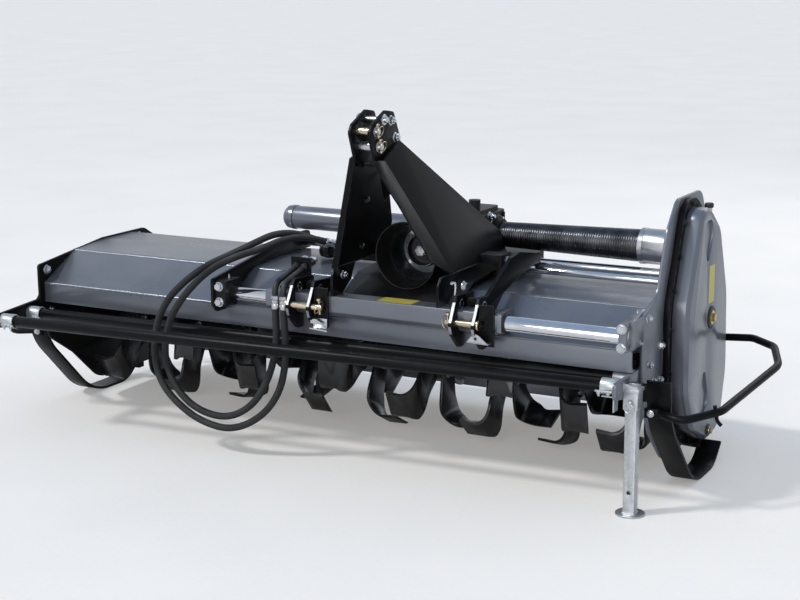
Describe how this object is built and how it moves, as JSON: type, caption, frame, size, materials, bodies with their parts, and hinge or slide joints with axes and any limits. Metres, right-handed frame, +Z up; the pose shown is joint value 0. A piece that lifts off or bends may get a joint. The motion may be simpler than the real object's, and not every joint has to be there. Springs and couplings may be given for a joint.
{
  "type": "rotary tiller",
  "caption": "Side-shifting rotary tiller for a three-point hitch, with a bladed rotor under a long bent hood, a side drive case, runners, tubular guards and a sliding headstock.",
  "frame": {"origin": "centre of the tiller's footprint on the floor", "axes": "+X along the rotor towards the side drive case, +Y to the rear, away from the tractor, +Z up"},
  "size_m": [2.8984, 1.108, 1.1874],
  "materials": {
    "graphite_paint": "satin",
    "black_paint": "satin",
    "case_paint": "satin",
    "chrome_rod": "polished",
    "turned_steel": "satin",
    "galvanised": "matte",
    "yellow_zinc": "satin",
    "blade_steel": "satin",
    "spring_steel": "glossy",
    "hose_rubber": "matte",
    "shield_plastic": "matte"
  },
  "bodies": {
    "frame": {"hood": "graphite_paint", "left_end_plate": "black_paint", "right_end_plate": "graphite_paint", "case_flange": "graphite_paint", "case_cover": "case_paint", "case_plugs": "yellow_zinc", "left_bearing": "black_paint", "left_rod_bracket": "black_paint", "right_rod_bracket": "black_paint", "front_rod": "chrome_rod", "rear_rod": "chrome_rod", "ram_rod": "chrome_rod", "shaft_bush": "turned_steel", "rear_guard_bar": "black_paint", "front_guard_bar": "black_paint", "bar_clamps": "galvanised", "left_bar_arm": "black_paint", "right_bar_arm": "graphite_paint", "left_side_guard": "black_paint", "right_side_guard": "black_paint", "left_skid": "black_paint", "right_skid": "black_paint", "stand_sleeve": "galvanised"},
    "headstock": {"slide_beam": "graphite_paint", "left_hitch_bracket": "black_paint", "right_hitch_bracket": "black_paint", "link_pins": "yellow_zinc", "deck_plate": "black_paint", "sliding_base": "black_paint", "ram_barrel": "black_paint", "gearbox": "black_paint", "pto_shield": "shield_plastic", "side_tube": "graphite_paint", "spiral_cover": "spring_steel", "mast_left": "black_paint", "mast_right": "black_paint", "top_clevis": "black_paint", "top_pins": "yellow_zinc", "coupler_rest": "black_paint", "hose_1": "hose_rubber", "hose_2": "hose_rubber", "hose_couplers": "turned_steel"},
    "pto_shaft": {"pto_stub": "turned_steel"},
    "rotor": {"rotor": "blade_steel"},
    "stand": {"stand_leg": "galvanised"},
    "board": {"rear_board": "graphite_paint"}
  },
  "joints": [
    {"name": "side_shift", "type": "slide", "parent": "frame", "child": "headstock", "axis": [1, 0, 0], "range_m": [-0.14, 0.32], "deforming": ["spiral_cover"]},
    {"name": "rotor_spin", "type": "hinge", "parent": "frame", "child": "rotor", "pos_m": [0, 0.168, 0.28], "axis": [1, 0, 0], "continuous": true},
    {"name": "pto_spin", "type": "hinge", "parent": "headstock", "child": "pto_shaft", "pos_m": [0.313, -0.092, 0.698], "axis": [0, -1, 0], "continuous": true},
    {"name": "stand_leg", "type": "slide", "parent": "frame", "child": "stand", "axis": [0, 0, 1], "range_m": [0, 0.26]},
    {"name": "rear_board", "type": "hinge", "parent": "frame", "child": "board", "pos_m": [0, 0.49, 0.392], "axis": [1, 0, 0], "range_deg": [0, 50]}
  ],
  "couplings": [
    {"joint": "pto_spin", "follows": "rotor_spin", "ratio": 2.35}
  ]
}
